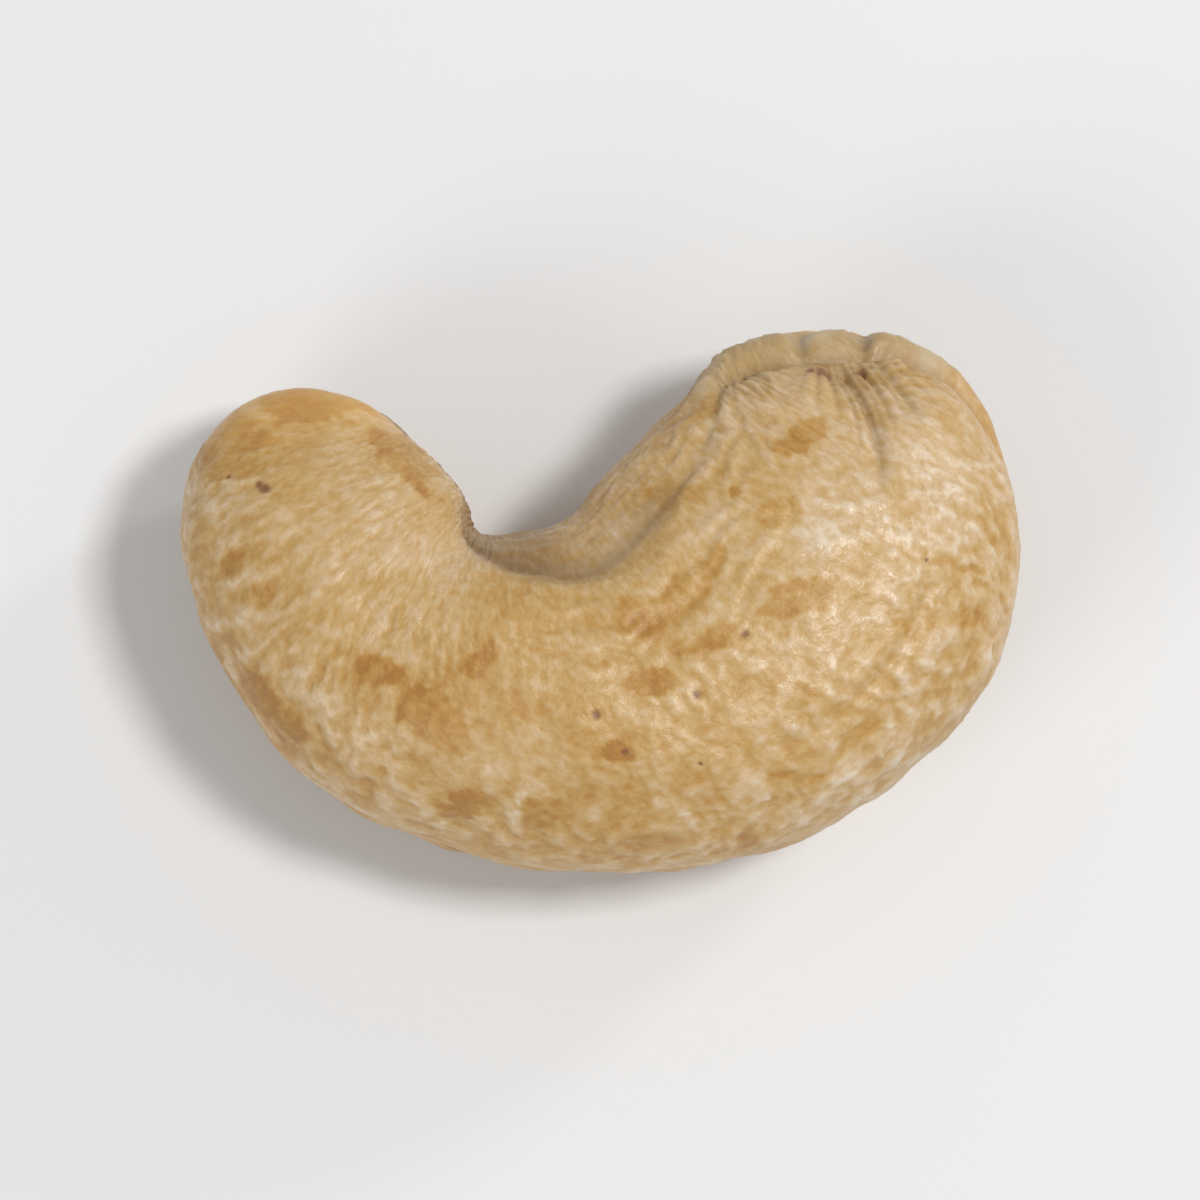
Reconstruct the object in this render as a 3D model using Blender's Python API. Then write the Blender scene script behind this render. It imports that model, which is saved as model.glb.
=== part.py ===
"""A whole cashew kernel lying on its flat side, in metres with +Z up.

It grew as one piece, so it is one solid: a bent body between a slender tip on
the left and a stout, blunt tip on the right, with its hollow side towards +Y.
A seam where its two halves meet runs round the whole outline. At the stout tip
the seam climbs on to the upper side, where the skin is gathered into folds.

The body is a cube, cut into a grid and wrapped round a row of cross-sections.
Sizes are in millimetres until the last step.
"""

from collections import namedtuple

import bmesh
import bpy
import numpy as np
from mathutils import Vector, noise

MM = 0.001

# Outside size of the finished kernel
KERNEL_LENGTH = 26.5
KERNEL_DEPTH = 17.4
KERNEL_THICKNESS = 11.0
FLAT_DEPTH = 0.16

# Cross-sections, from the slender tip (place -1) to the stout tip (place 1).
# x and y are the section's middle in plan and z its height above the flat side.
# fan is the heading of its outer end, in degrees from -Y towards +X, and lean
# how far its upper half tilts back from the stout tip. seam_out and seam_in are
# the seam's climb above mid-height at the outer and the hollow side, in degrees.
Section = namedtuple(
    "Section", "place x y z half_width fan over under lean seam_out seam_in"
)
SECTIONS = (
    Section(-1.00, -9.55, 15.45, 5.0, 4.4, -95, 4.05, 4.45, -0.15, 0, 0),
    Section(-0.75, -9.55, 12.55, 5.1, 4.85, -80, 4.65, 5.05, -0.06, -4, 4),
    Section(-0.50, -8.2, 9.0, 5.3, 4.85, -55, 5.0, 5.4, 0.00, -6, 12),
    Section(-0.25, -5.8, 6.45, 5.5, 4.7, -24, 5.3, 5.55, 0.00, -6, 34),
    Section(0.00, -1.5, 5.6, 5.6, 5.3, 12, 5.5, 5.6, 0.00, -5, 50),
    Section(0.25, 2.85, 6.35, 5.6, 6.2, 38, 5.6, 5.6, 0.03, -4, 52),
    Section(0.50, 6.45, 9.4, 5.7, 6.9, 59, 5.5, 5.8, 0.08, -2, 49),
    Section(0.75, 8.1, 13.1, 5.85, 5.95, 73, 4.9, 5.75, 0.18, 0, 40),
    Section(1.00, 7.5, 16.75, 6.3, 5.15, 89, 4.05, 5.4, 0.34, 4, 14),
)
SECTION_SQUARENESS = 2.25

# How bluntly the body closes at each tip: 2 is a long point, 10 nearly square
SLENDER_TIP_BLUNTNESS = 4.6
STOUT_TIP_BLUNTNESS = 9.5
STOUT_TIP_BLUNTNESS_UPRIGHT = 4.5

# The grid: quads across each face of the cube, and along its long edges
RING_QUADS = 20
LONG_QUADS = 56
HALF_SPINE = 16.5
TYPICAL_HALF_WIDTH = 5.7
SPINE_SAMPLES = 4001

# The seam's groove, which deepens sharply towards the tips
SEAM_DEPTH = 0.30
SEAM_DEPTH_AT_TIPS = 0.52
SEAM_DEPTH_IN_HOLLOW = 0.16
SEAM_WIDTH = 0.42
SEAM_DEEPENING = 8

# The pinch: where the seam climbs highest over the stout tip. The rise falls
# away on both sides, and it is there only from a place near the tip onwards.
PINCH_X = 6.8
PINCH_RISE = 1.25
PINCH_SPREAD = 3.0
PINCH_START = 0.72
PINCH_FULL = 0.9

# The lower half's lip, which starts at a place and rises over a stretch. Two
# creases across it, at X, leave three lobes round the pinch.
LIP_HEIGHT = 0.34
LIP_BELOW_SEAM = 0.7
LIP_WIDTH = 0.6
LIP_CREASES = (6.5, 8.5)
LIP_CREASE_WIDTH = 0.4
LIP_CREASE_SHARE = 1.0
LIP_START = 0.72
LIP_RISE = 0.2

# Folds of the gathered skin, which fan out over the upper side: x and y of the
# end at the pinch and of the far end, the bow to the outer side, width and depth
Fold = namedtuple("Fold", "x0 y0 x1 y1 bow width depth")
FOLDS = (
    Fold(6.2, 15.1, 5.7, 13.8, -0.1, 0.34, 0.10),
    Fold(7.5, 15.2, 7.95, 13.9, 0.05, 0.26, 0.16),
    Fold(7.95, 15.25, 9.0, 11.2, 0.42, 0.30, 0.28),
    Fold(8.6, 15.4, 9.5, 13.6, 0.12, 0.26, 0.20),
    Fold(9.2, 15.6, 10.4, 13.7, 0.15, 0.28, 0.20),
)
FOLD_FADING = 0.7
FOLD_EASE = 0.8

# Shallow, uneven swells of the whole surface
SWELL_HEIGHT = 0.2
SWELL_SHARE_UNDERNEATH = 0.3
SWELL_LENGTH = 6.5
SWELL_START = Vector((3.1, 7.7, 1.3))

# The height over the seam where relief of one side alone is full
SIDE_EASE = 2.0

# Shallow dents of the upper side: x, y, radius and depth
Dent = namedtuple("Dent", "x y radius depth")
DENTS = (
    Dent(-7.2, 6.2, 2.6, 0.20),
    Dent(2.2, 7.6, 3.0, 0.16),
    Dent(9.4, 8.2, 2.4, 0.14),
    Dent(-10.0, 12.6, 1.8, 0.12),
)

KERNEL_COLOUR = (0.533, 0.352, 0.165, 1.0)
KERNEL_ROUGHNESS = 0.52


def spline(places, values, at):
    """A natural cubic curve through values at places, read at each of at."""
    gaps = np.diff(places)
    slopes = np.diff(values) / gaps
    bends = np.eye(len(places))
    turns = np.zeros(len(places))
    for i in range(1, len(places) - 1):
        bends[i, i - 1 : i + 2] = gaps[i - 1], 2 * (gaps[i - 1] + gaps[i]), gaps[i]
        turns[i] = 6 * (slopes[i] - slopes[i - 1])
    curve = np.linalg.solve(bends, turns)
    cell = np.clip(np.searchsorted(places, at, side="right") - 1, 0, len(gaps) - 1)
    before = at - places[cell]
    after = places[cell + 1] - at
    gap = gaps[cell]
    bowed = (curve[cell] * after**3 + curve[cell + 1] * before**3) / (6 * gap)
    first = (values[cell] / gap - curve[cell] * gap / 6) * after
    second = (values[cell + 1] / gap - curve[cell + 1] * gap / 6) * before
    return bowed + first + second


def sections_at(place):
    """Every value of the cross-sections, blended smoothly along the body."""
    columns = np.array(SECTIONS).T
    blended = [place] + [spline(columns[0], column, place) for column in columns[1:]]
    return Section(*blended)


def closing(place, stout_bluntness):
    """The share of its full size that the body has at a place: 0 at each tip."""
    bluntness = np.where(place < 0, SLENDER_TIP_BLUNTNESS, stout_bluntness)
    return np.sqrt(np.clip(1 - np.abs(place) ** bluntness, 0, 1))


def skin_travel():
    """Places from tip to tip, and the way over the skin to each of them."""
    place = np.sin(np.linspace(-np.pi / 2, np.pi / 2, SPINE_SAMPLES))
    along = place * HALF_SPINE
    out = closing(place, STOUT_TIP_BLUNTNESS) * TYPICAL_HALF_WIDTH
    steps = np.hypot(np.diff(along), np.diff(out))
    return place, np.concatenate([[0], np.cumsum(steps)])


def even_places(share):
    """Places for shares -1 to 1 of the way from tip to tip, over the skin."""
    place, travelled = skin_travel()
    return np.interp(share, 2 * travelled / travelled[-1] - 1, place)


def pinch_rise(place, across):
    """How far the seam climbs above its surface, round the stout tip alone."""
    near_tip = np.clip((place - PINCH_START) / (PINCH_FULL - PINCH_START), 0, 1)
    return PINCH_RISE * near_tip**2 * np.exp(-(((across - PINCH_X) / PINCH_SPREAD) ** 2))


def body_point(place, angle):
    """Points of the smooth body, and their height above the seam's surface.

    angle runs round a section: 0 at the outer seam, a quarter turn on top and
    a half turn at the seam of the hollow side.
    """
    here = sections_at(place)
    outer_share = (1 + np.cos(angle)) / 2
    turned = angle + np.radians(here.seam_out) * outer_share
    turned -= np.radians(here.seam_in) * (1 - outer_share)
    side, top = np.cos(turned), np.sin(turned)
    corner = np.abs(side) ** SECTION_SQUARENESS + np.abs(top) ** SECTION_SQUARENESS
    reach = corner ** (-1 / SECTION_SQUARENESS)
    wide = here.half_width * closing(place, STOUT_TIP_BLUNTNESS) * reach
    tall = np.where(top > 0, here.over, here.under) * reach
    tall = tall * closing(place, STOUT_TIP_BLUNTNESS_UPRIGHT)
    fan = np.radians(here.fan)
    back = here.lean * tall * top
    x = here.x + wide * side * np.sin(fan) - back * np.cos(fan)
    y = here.y - wide * side * np.cos(fan) - back * np.sin(fan)
    z = here.z + tall * top
    return np.stack([x, y, z], axis=1), tall * np.sin(angle) - pinch_rise(place, x)


def seam_relief(place, angle, height):
    """The groove between the halves, shallowest along the hollow side."""
    in_hollow = (1 - np.cos(angle)) / 2
    depth = SEAM_DEPTH + (SEAM_DEPTH_IN_HOLLOW - SEAM_DEPTH) * in_hollow
    depth += (SEAM_DEPTH_AT_TIPS - depth) * np.abs(place) ** SEAM_DEEPENING
    return -depth * np.exp(-np.abs(height) / SEAM_WIDTH)


def lip_relief(place, height, across):
    """The lower half's edge, which stands out in lobes round the stout tip."""
    near_tip = np.clip((place - LIP_START) / LIP_RISE, 0, 1) ** 2
    lobes = np.ones(len(across))
    for crease in LIP_CREASES:
        lobes -= LIP_CREASE_SHARE * np.exp(-(((across - crease) / LIP_CREASE_WIDTH) ** 2))
    off_crest = (height + LIP_BELOW_SEAM) / LIP_WIDTH
    return LIP_HEIGHT * near_tip * lobes * np.exp(-(off_crest**2))


def fold_relief(folds, points, height):
    """Folds that are deepest at the pinch, on the upper side only."""
    total = np.zeros(len(points))
    for fold in folds:
        start = np.array([fold.x0, fold.y0])
        run = np.array([fold.x1, fold.y1]) - start
        length = np.hypot(*run)
        heading = run / length
        offset = points[:, :2] - start
        share = np.clip(offset @ heading / length, 0, 1)
        aside = offset @ np.array([-heading[1], heading[0]])
        aside = aside - fold.bow * 4 * share * (1 - share)
        fading = (1 - share) ** FOLD_FADING
        total -= fold.depth * fading * np.exp(-((aside / fold.width) ** 2))
    return total * np.clip(height / FOLD_EASE, 0, 1)


def dent_relief(points, height):
    """Broad, shallow hollows of the upper side."""
    upper = np.clip(height / SIDE_EASE, 0, 1)
    total = np.zeros(len(points))
    for dent in DENTS:
        away = np.hypot(points[:, 0] - dent.x, points[:, 1] - dent.y)
        total -= dent.depth * np.exp(-((away / dent.radius) ** 2))
    return total * upper


def swell_relief(points, height):
    """Uneven swells, the same on every run, and slighter underneath."""
    places = [Vector(point) / SWELL_LENGTH + SWELL_START for point in points]
    swell = SWELL_HEIGHT * np.array([noise.noise(place) for place in places])
    underneath = np.clip(-height / SIDE_EASE, 0, 1)
    return swell * (1 - (1 - SWELL_SHARE_UNDERNEATH) * underneath)


def grid_cube():
    """A cube cut into a grid, finer along X."""
    mesh = bmesh.new()
    bmesh.ops.create_cube(mesh, size=2)
    for axis, quads in enumerate((LONG_QUADS, RING_QUADS, RING_QUADS)):
        edges = [
            edge
            for edge in mesh.edges
            if abs(edge.verts[0].co[axis] - edge.verts[1].co[axis]) > 1
        ]
        bmesh.ops.subdivide_edges(mesh, edges=edges, cuts=quads - 1, use_grid_fill=True)
    return mesh


def wrapped(cube):
    """Each cube corner's place along the body and angle round it.

    The cube is first made a round-ended rod: its last stretches and end faces
    become half spheres, and the stretch between them keeps straight sides.
    """
    straight = LONG_QUADS / RING_QUADS - 1
    along = np.abs(cube[:, 0]) * LONG_QUADS / RING_QUADS
    bent = np.clip(along - straight, 0, 1)
    heading = np.tan(np.pi / 4 * np.column_stack([bent, cube[:, 1], cube[:, 2]]))
    climb = np.arctan2(heading[:, 0], np.hypot(heading[:, 1], heading[:, 2]))
    travelled = np.pi / 4 * np.minimum(along, straight) + climb
    share = travelled / (np.pi / 4 * straight + np.pi / 2)
    angle = np.arctan2(heading[:, 2], heading[:, 1])
    return even_places(np.sign(cube[:, 0]) * share), angle


def positions(mesh):
    return np.array([vertex.co for vertex in mesh.verts])


def place_vertices(mesh, points):
    for vertex, point in zip(mesh.verts, points):
        vertex.co = point


def settled(points):
    """Points at the driving sizes, with the origin under the kernel's middle."""
    size = (KERNEL_LENGTH, KERNEL_DEPTH, KERNEL_THICKNESS + FLAT_DEPTH)
    low, high = points.min(axis=0), points.max(axis=0)
    points = (points - (low + high) / 2) * size / (high - low)
    points[:, 2] += KERNEL_THICKNESS - size[2] / 2
    return points


def build_kernel_mesh():
    mesh = grid_cube()
    place, angle = wrapped(positions(mesh))
    points, height = body_point(place, angle)
    place_vertices(mesh, points)
    mesh.normal_update()
    bmesh.ops.recalc_face_normals(mesh, faces=mesh.faces)
    mesh.normal_update()
    normals = np.array([vertex.normal for vertex in mesh.verts])
    relief = seam_relief(place, angle, height)
    relief += lip_relief(place, height, points[:, 0])
    relief += fold_relief(FOLDS, points, height)
    relief += dent_relief(points, height)
    relief += swell_relief(points, height)
    points = settled(points + normals * relief[:, None])
    points[:, 2] = np.maximum(points[:, 2], 0)
    place_vertices(mesh, points * MM)
    data = bpy.data.meshes.new("cashew_nut")
    mesh.to_mesh(data)
    mesh.free()
    data.shade_smooth()
    return data


def kernel_material():
    material = bpy.data.materials.new("kernel")
    material.use_nodes = True
    shader = material.node_tree.nodes["Principled BSDF"]
    shader.inputs["Base Color"].default_value = KERNEL_COLOUR
    shader.inputs["Roughness"].default_value = KERNEL_ROUGHNESS
    shader.inputs["Metallic"].default_value = 0.0
    return material


def main():
    for item in list(bpy.data.objects):
        bpy.data.objects.remove(item)
    parts = bpy.data.collections.new("cashew_nut")
    bpy.context.scene.collection.children.link(parts)
    kernel = bpy.data.objects.new("cashew_nut", build_kernel_mesh())
    kernel.data.materials.append(kernel_material())
    parts.objects.link(kernel)


main()
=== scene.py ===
"""The looks of a whole cashew kernel that lies on a pale floor.

The kernel is one piece. Its body, seam, folds, dents and swells repeat the
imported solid's formulas on a much finer grid, and this script adds what is too
fine for the solid: small wrinkles across the body, ridges beside the seam, thin
pleats round the pinched tip, the crack in the seam, pits and long furrows. The
values that colour the skin are worked out with them and kept on its points.

The kernel is shaped in millimetres and scaled to metres when it is placed.
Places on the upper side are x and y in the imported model's frame.
"""

from collections import namedtuple

import bmesh
import bpy
import numpy as np
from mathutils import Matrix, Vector, noise


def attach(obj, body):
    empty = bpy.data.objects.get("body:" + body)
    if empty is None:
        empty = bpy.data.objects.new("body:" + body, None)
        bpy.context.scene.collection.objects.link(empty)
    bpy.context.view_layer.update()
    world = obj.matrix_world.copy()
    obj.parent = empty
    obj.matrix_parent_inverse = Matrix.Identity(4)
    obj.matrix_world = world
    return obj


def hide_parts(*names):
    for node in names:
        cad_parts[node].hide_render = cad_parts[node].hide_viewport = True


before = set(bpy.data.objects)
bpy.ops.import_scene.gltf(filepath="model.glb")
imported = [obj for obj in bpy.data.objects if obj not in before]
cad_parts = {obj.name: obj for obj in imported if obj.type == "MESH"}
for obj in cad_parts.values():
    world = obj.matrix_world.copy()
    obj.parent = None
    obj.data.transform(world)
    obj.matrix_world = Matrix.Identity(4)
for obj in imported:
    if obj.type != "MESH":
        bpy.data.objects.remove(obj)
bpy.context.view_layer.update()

MM = 0.001
NODE = "cashew_nut"

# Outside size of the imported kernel
KERNEL_LENGTH = 26.5
KERNEL_DEPTH = 17.4
KERNEL_THICKNESS = 11.0
FLAT_DEPTH = 0.16

# Cross-sections, from the slender tip (place -1) to the stout tip (place 1).
# x and y are the section's middle in plan and z its height above the flat side.
# fan is the heading of its outer end, in degrees from -Y towards +X, and lean
# how far its upper half tilts back from the stout tip. seam_out and seam_in are
# the seam's climb above mid-height at the outer and the hollow side, in degrees.
Section = namedtuple(
    "Section", "place x y z half_width fan over under lean seam_out seam_in"
)
SECTIONS = (
    Section(-1.00, -9.55, 15.45, 5.0, 4.4, -95, 4.05, 4.45, -0.15, 0, 0),
    Section(-0.75, -9.55, 12.55, 5.1, 4.85, -80, 4.65, 5.05, -0.06, -4, 4),
    Section(-0.50, -8.2, 9.0, 5.3, 4.85, -55, 5.0, 5.4, 0.00, -6, 12),
    Section(-0.25, -5.8, 6.45, 5.5, 4.7, -24, 5.3, 5.55, 0.00, -6, 34),
    Section(0.00, -1.5, 5.6, 5.6, 5.3, 12, 5.5, 5.6, 0.00, -5, 50),
    Section(0.25, 2.85, 6.35, 5.6, 6.2, 38, 5.6, 5.6, 0.03, -4, 52),
    Section(0.50, 6.45, 9.4, 5.7, 6.9, 59, 5.5, 5.8, 0.08, -2, 49),
    Section(0.75, 8.1, 13.1, 5.85, 5.95, 73, 4.9, 5.75, 0.18, 0, 40),
    Section(1.00, 7.5, 16.75, 6.3, 5.15, 89, 4.05, 5.4, 0.34, 4, 14),
)
SECTION_SQUARENESS = 2.25

# How bluntly the body closes at each tip: 2 is a long point, 10 nearly square
SLENDER_TIP_BLUNTNESS = 4.6
STOUT_TIP_BLUNTNESS = 9.5
STOUT_TIP_BLUNTNESS_UPRIGHT = 4.5

# The fine grid: quads across each face of the cube, and along its long edges
RING_QUADS = 66
LONG_QUADS = 320
HALF_SPINE = 16.5
TYPICAL_HALF_WIDTH = 5.7
SPINE_SAMPLES = 4001

# The seam's groove, which deepens sharply towards the tips
SEAM_DEPTH = 0.30
SEAM_DEPTH_AT_TIPS = 0.52
SEAM_DEPTH_IN_HOLLOW = 0.16
SEAM_WIDTH = 0.42
SEAM_DEEPENING = 8

# The pinch: where the seam climbs highest over the stout tip. The rise falls
# away on both sides, and it is there only from a place near the tip onwards.
PINCH_X = 6.8
PINCH_RISE = 1.25
PINCH_SPREAD = 3.0
PINCH_START = 0.72
PINCH_FULL = 0.9

# The lower half's lip, which starts at a place and rises over a stretch. Two
# creases across it, at X, leave three lobes round the pinch.
LIP_HEIGHT = 0.34
LIP_BELOW_SEAM = 0.7
LIP_WIDTH = 0.6
LIP_CREASES = (6.5, 8.5)
LIP_CREASE_WIDTH = 0.4
LIP_CREASE_SHARE = 1.0
LIP_START = 0.72
LIP_RISE = 0.2

# Folds of the gathered skin, which fan out over the upper side: x and y of the
# end at the pinch and of the far end, the bow to the outer side, width and depth
Fold = namedtuple("Fold", "x0 y0 x1 y1 bow width depth")
FOLDS = (
    Fold(6.2, 15.1, 5.7, 13.8, -0.1, 0.34, 0.10),
    Fold(7.5, 15.2, 7.95, 13.9, 0.05, 0.26, 0.16),
    Fold(7.95, 15.25, 9.0, 11.2, 0.42, 0.30, 0.28),
    Fold(8.6, 15.4, 9.5, 13.6, 0.12, 0.26, 0.20),
    Fold(9.2, 15.6, 10.4, 13.7, 0.15, 0.28, 0.20),
)
FOLD_FADING = 0.7
FOLD_EASE = 0.8

# Thin pleats between the folds, round the pinched tip
PLEATS = (
    Fold(4.9, 14.8, 4.3, 13.6, -0.1, 0.14, 0.03),
    Fold(6.5, 15.0, 6.2, 14.1, 0.0, 0.12, 0.05),
    Fold(7.0, 15.2, 6.95, 13.9, 0.0, 0.11, 0.08),
    Fold(7.4, 15.2, 7.7, 13.5, 0.05, 0.10, 0.12),
    Fold(7.7, 15.2, 8.3, 12.6, 0.20, 0.10, 0.13),
    Fold(7.95, 15.3, 8.95, 11.2, 0.42, 0.12, 0.16),
    Fold(8.3, 15.3, 9.2, 12.8, 0.22, 0.10, 0.12),
    Fold(8.6, 15.4, 9.5, 13.3, 0.12, 0.10, 0.14),
    Fold(8.9, 15.5, 9.9, 13.6, 0.12, 0.10, 0.12),
    Fold(9.2, 15.6, 10.4, 13.4, 0.15, 0.11, 0.13),
    Fold(9.7, 15.6, 11.0, 13.9, 0.18, 0.10, 0.09),
    Fold(10.3, 15.6, 11.7, 14.3, 0.18, 0.10, 0.07),
)

# Shallow, uneven swells of the whole surface
SWELL_HEIGHT = 0.2
SWELL_SHARE_UNDERNEATH = 0.3
SWELL_LENGTH = 6.5
SWELL_START = Vector((3.1, 7.7, 1.3))

# The height over the seam where relief of one side alone is full
SIDE_EASE = 2.0

# Shallow dents of the upper side: x, y, radius and depth
Dent = namedtuple("Dent", "x y radius depth")
DENTS = (
    Dent(-7.2, 6.2, 2.6, 0.20),
    Dent(2.2, 7.6, 3.0, 0.16),
    Dent(9.4, 8.2, 2.4, 0.14),
    Dent(-10.0, 12.6, 1.8, 0.12),
)

# A noise pattern: the length of its lumps, how much it changes a value, and the
# start that sets it apart from the other patterns
Pattern = namedtuple("Pattern", "length share start")
WARP_START_STEP = 11.3

# The crack at the bottom of the seam's groove. Away from the tips only a share
# of it is open, and the places say where the tips begin.
CRACK_DEPTH = 0.13
CRACK_HALF_WIDTH = 0.17
CRACK_SHARE_AWAY = 0.35
CRACK_PLACES = (0.75, 0.97)
CRACK_OPEN = 0.7
CRACK_UNEVENNESS = Pattern(1.7, 0.3, 77.0)

# Strokes over the skin: their lengths along and round the body, the start of
# their noise, the noise at the foot and the top of a stroke's side, the level
# that counts as even skin, and how much they change the height and the paleness.
# The paler tops are partly the skin's streaky colour and partly painted highlight.
Strokes = namedtuple("Strokes", "along around start foot top level height share")
COMB = Strokes(0.44, 1.9, 2.2, -0.14, 0.26, 0.45, 0.075, 0.22)
FINE_COMB = Strokes(0.27, 1.0, 6.4, -0.16, 0.24, 0.5, 0.065, 0.30)
SEAM_RIDGES = Strokes(3.6, 0.42, 12.6, -0.25, 0.35, 0.5, 0.09, 0.11)

# How strokes bend over a long way and sway over a short one, in mm. The starts
# are counted on from the strokes' own.
BEND_LENGTH = 2.4
BEND_ALONG = 0.6
SWAY_LENGTH = 0.9
SWAY_ALONG = 0.22
SWAY_AROUND = 0.5
SWAY_START = 3.7
STROKE_START = 8.1

# How strongly the two combs show: everywhere, more on the outer side and on the
# stout half's top, less on the rim and in calm places, and in patches not at all
COMB_EVERYWHERE = 0.5
COMB_OUTER = 0.35
COMB_STOUT = 0.05
COMB_ON_RIM = 0.3
AMBER_CALM = 0.75
SLENDER_CALM = 0.75
SEAM_CALM = 0.8
PATCHY = Pattern(3.2, 1.0, 41.0)
COMB_PATCHES = (-1.2, -0.2)

# Thin creases in every direction, most of them on the stout half's top
CRUMPLE = Pattern(0.55, 1.0, 54.0)
CRUMPLE_WARP = Pattern(1.4, 0.4, 51.0)
CRUMPLE_WIDTH = 0.3
CRUMPLE_SHARPNESS = 1.4
CRUMPLE_LEVEL = 0.4
CRUMPLE_HEIGHT = 0.03
# The crests are painted paler, partly as painted highlight on them
CRUMPLE_SHARE = 0.07
CRUMPLE_EVERYWHERE = 0.3
CRUMPLE_STOUT = 0.9

# Soft unevenness between the wrinkles and the swells
LUMPS = Pattern(1.9, 0.14, 61.0)

# The lip's colour, lumps and creases, with painted highlight on the lumps' tops
# and painted shade in the creases. The colour spreads wider than the lip stands
# out, the creases in it are narrower, and all of it fades out between two
# values of x.
LIP_FADES = (11.8, 10.4)
LIP_SPREAD = 1.5
LIP_LUMPS = Pattern(1.3, 1.0, 67.0)
LIP_LUMP_HEIGHT = 0.10
LIP_CREASE_DEPTH = 0.05
LIP_CREASE_SWAY = 0.35
LIP_CREASE_NARROWING = 0.5
# How strongly painted shade darkens the lip's creases
LIP_CREASE_SHADE = 0.5
# Where the lip's lumps count as tops, which get a painted highlight
LOBE_TOPS = (-0.1, 0.5)

# Furrows of the upper side: start, end, sideways bow, width and depth
FURROWS = (
    Fold(10.2, 0.0, 7.7, -3.9, 0.45, 0.24, 0.18),
    Fold(7.7, -3.9, 5.2, -5.4, 0.20, 0.26, 0.08),
    Fold(-8.2, 1.2, -6.0, -1.9, -0.30, 0.34, 0.06),
)
FURROW_START = (-0.1, 0.2)
FURROW_END = (1.1, 0.8)

# Dark specks of the upper side: x, y and radius. Those at the pinch reach a
# little below the seam.
Speck = namedtuple("Speck", "x y radius")
SPECKS = (
    Speck(-10.53, 3.12, 0.20),
    Speck(-10.75, 3.32, 0.14),
    Speck(-11.76, 3.65, 0.09),
    Speck(-0.15, -4.35, 0.16),
    Speck(2.92, -3.70, 0.15),
    Speck(4.42, -1.81, 0.16),
    Speck(0.73, -5.44, 0.14),
    Speck(3.04, -5.78, 0.08),
    Speck(10.09, 0.66, 0.09),
)
PINCH_SPECKS = (
    Speck(6.55, 7.02, 0.20),
    Speck(6.90, 7.05, 0.28),
    Speck(8.19, 7.20, 0.17),
)
SPECK_LOWEST = 0.0
PINCH_SPECK_LOWEST = -0.5
SPECK_EASE = 0.3
SPECK_WOBBLE = Pattern(0.3, 0.5, 14.2)
SPECK_DEPTH = 0.07

# Amber patches of the upper side, where the pale skin has rubbed thin: middle,
# half sizes along and across, and the turn of the long side, in degrees
Patch = namedtuple("Patch", "x y along across turn")
PATCHES = (
    Patch(6.38, 4.68, 0.90, 0.50, 22),
    Patch(5.45, 1.92, 0.72, 0.64, 10),
    Patch(3.85, 3.61, 0.26, 0.24, 0),
    Patch(4.22, 2.84, 0.24, 0.26, 0),
    Patch(1.2, -1.2, 1.10, 0.75, 15),
    Patch(2.5, -0.6, 1.35, 0.80, 32),
    Patch(3.4, 0.5, 0.80, 0.50, 62),
    Patch(6.1, -0.8, 1.2, 0.7, 20),
    Patch(3.28, -2.08, 1.25, 0.42, 12),
    Patch(1.74, -3.34, 0.80, 0.52, 18),
    Patch(5.2, -3.1, 0.36, 0.30, 0),
    Patch(6.39, -3.39, 0.36, 0.30, 30),
    Patch(-5.58, -3.98, 0.80, 0.60, -30),
    Patch(-4.76, -4.81, 1.00, 0.52, -38),
    Patch(-6.90, -2.75, 1.10, 0.46, -8),
    Patch(-3.72, -2.59, 0.52, 0.42, -10),
    Patch(-4.57, -7.08, 1.10, 0.36, -16),
    Patch(-1.88, -7.17, 0.80, 0.40, 0),
    Patch(0.61, -5.48, 0.52, 0.40, 0),
    Patch(-11.56, 0.82, 0.56, 0.46, 0),
    Patch(-10.73, -0.49, 0.60, 0.42, -40),
    Patch(-11.98, -1.49, 0.65, 0.46, -60),
    Patch(-10.74, -3.21, 1.15, 0.55, -50),
    Patch(-9.92, -4.42, 0.70, 0.48, -45),
    Patch(-8.67, 6.4, 2.6, 1.00, 5),
    Patch(-6.19, 4.37, 1.4, 0.70, -48),
    Patch(-11.7, 4.5, 1.3, 1.1, 60),
)
PATCH_WARP = Pattern(1.3, 0.45, 88.0)
PATCH_WOBBLES = (Pattern(0.8, 0.40, 3.3), Pattern(0.34, 0.30, 9.9))
PATCH_EDGE = (-0.10, 0.22)
PATCH_HEIGHTS = (0.5, 1.2)

# Blotches of amber on the sides and underneath, where no patch is listed
BLOTCHES = Pattern(2.0, 1.0, 21.4)
BLOTCH_WOBBLE = 0.8
BLOTCH_EDGE = (0.20, 0.65)
BLOTCH_HEIGHTS = (1.4, 0.2)

# How deep the amber is: its usual strength, how it varies, and its least
AMBER_STRENGTH = 0.75
AMBER_VARIES = Pattern(2.6, 0.45, 24.1)
AMBER_FAINTEST = 0.3
AMBER_DARKENING = 0.46

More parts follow.
